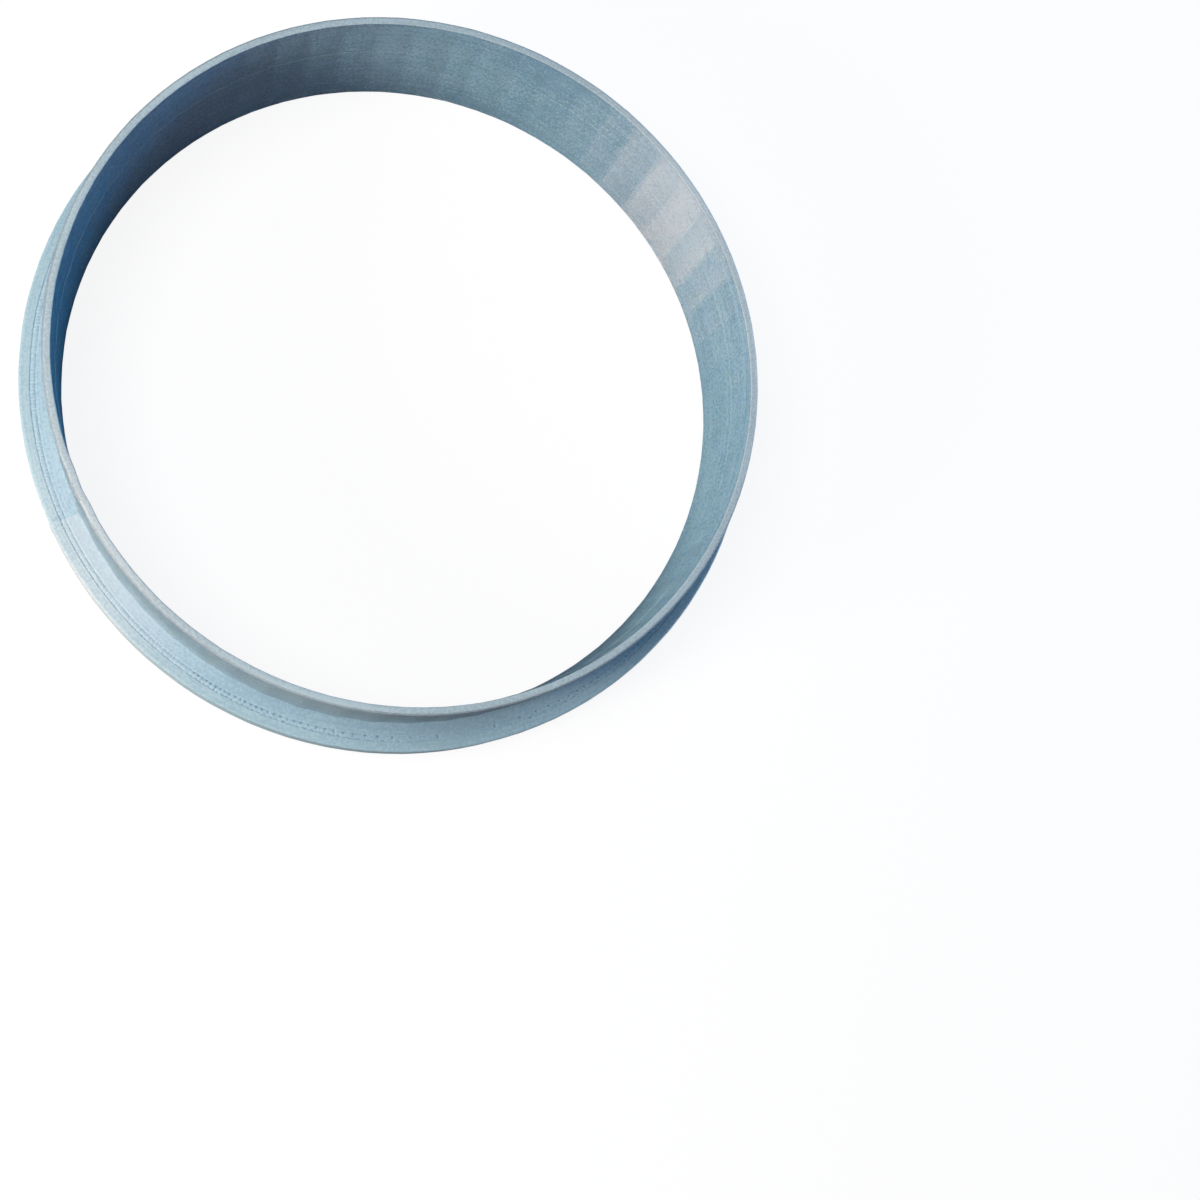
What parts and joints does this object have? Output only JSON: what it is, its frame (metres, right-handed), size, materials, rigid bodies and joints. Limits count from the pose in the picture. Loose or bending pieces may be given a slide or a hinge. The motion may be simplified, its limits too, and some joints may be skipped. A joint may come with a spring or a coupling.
{
  "type": "cookie cutter",
  "caption": "Round printed cookie cutter: a thin upright ring wall with a flat cutting crest, standing on a wider flange that the hand presses.",
  "frame": {"origin": "centre of the ring, on the plane that the flange rests on", "axes": "+Z along the ring's axis from the flange to the cutting crest; +X across the ring, 5.3 degrees from a corner between two flats; +Y square to both"},
  "size_m": [0.1, 0.1, 0.02],
  "materials": {
    "pale_blue_pla": "printed PLA, satin, with fine layer lines on the walls and bead lines on the flange"
  },
  "bodies": {
    "root": {"lower_wall": "pale_blue_pla", "cutting_blade": "pale_blue_pla", "flange_inner_loops": "pale_blue_pla", "flange_fill": "pale_blue_pla", "flange_outer_loops": "pale_blue_pla"}
  },
  "joints": []
}
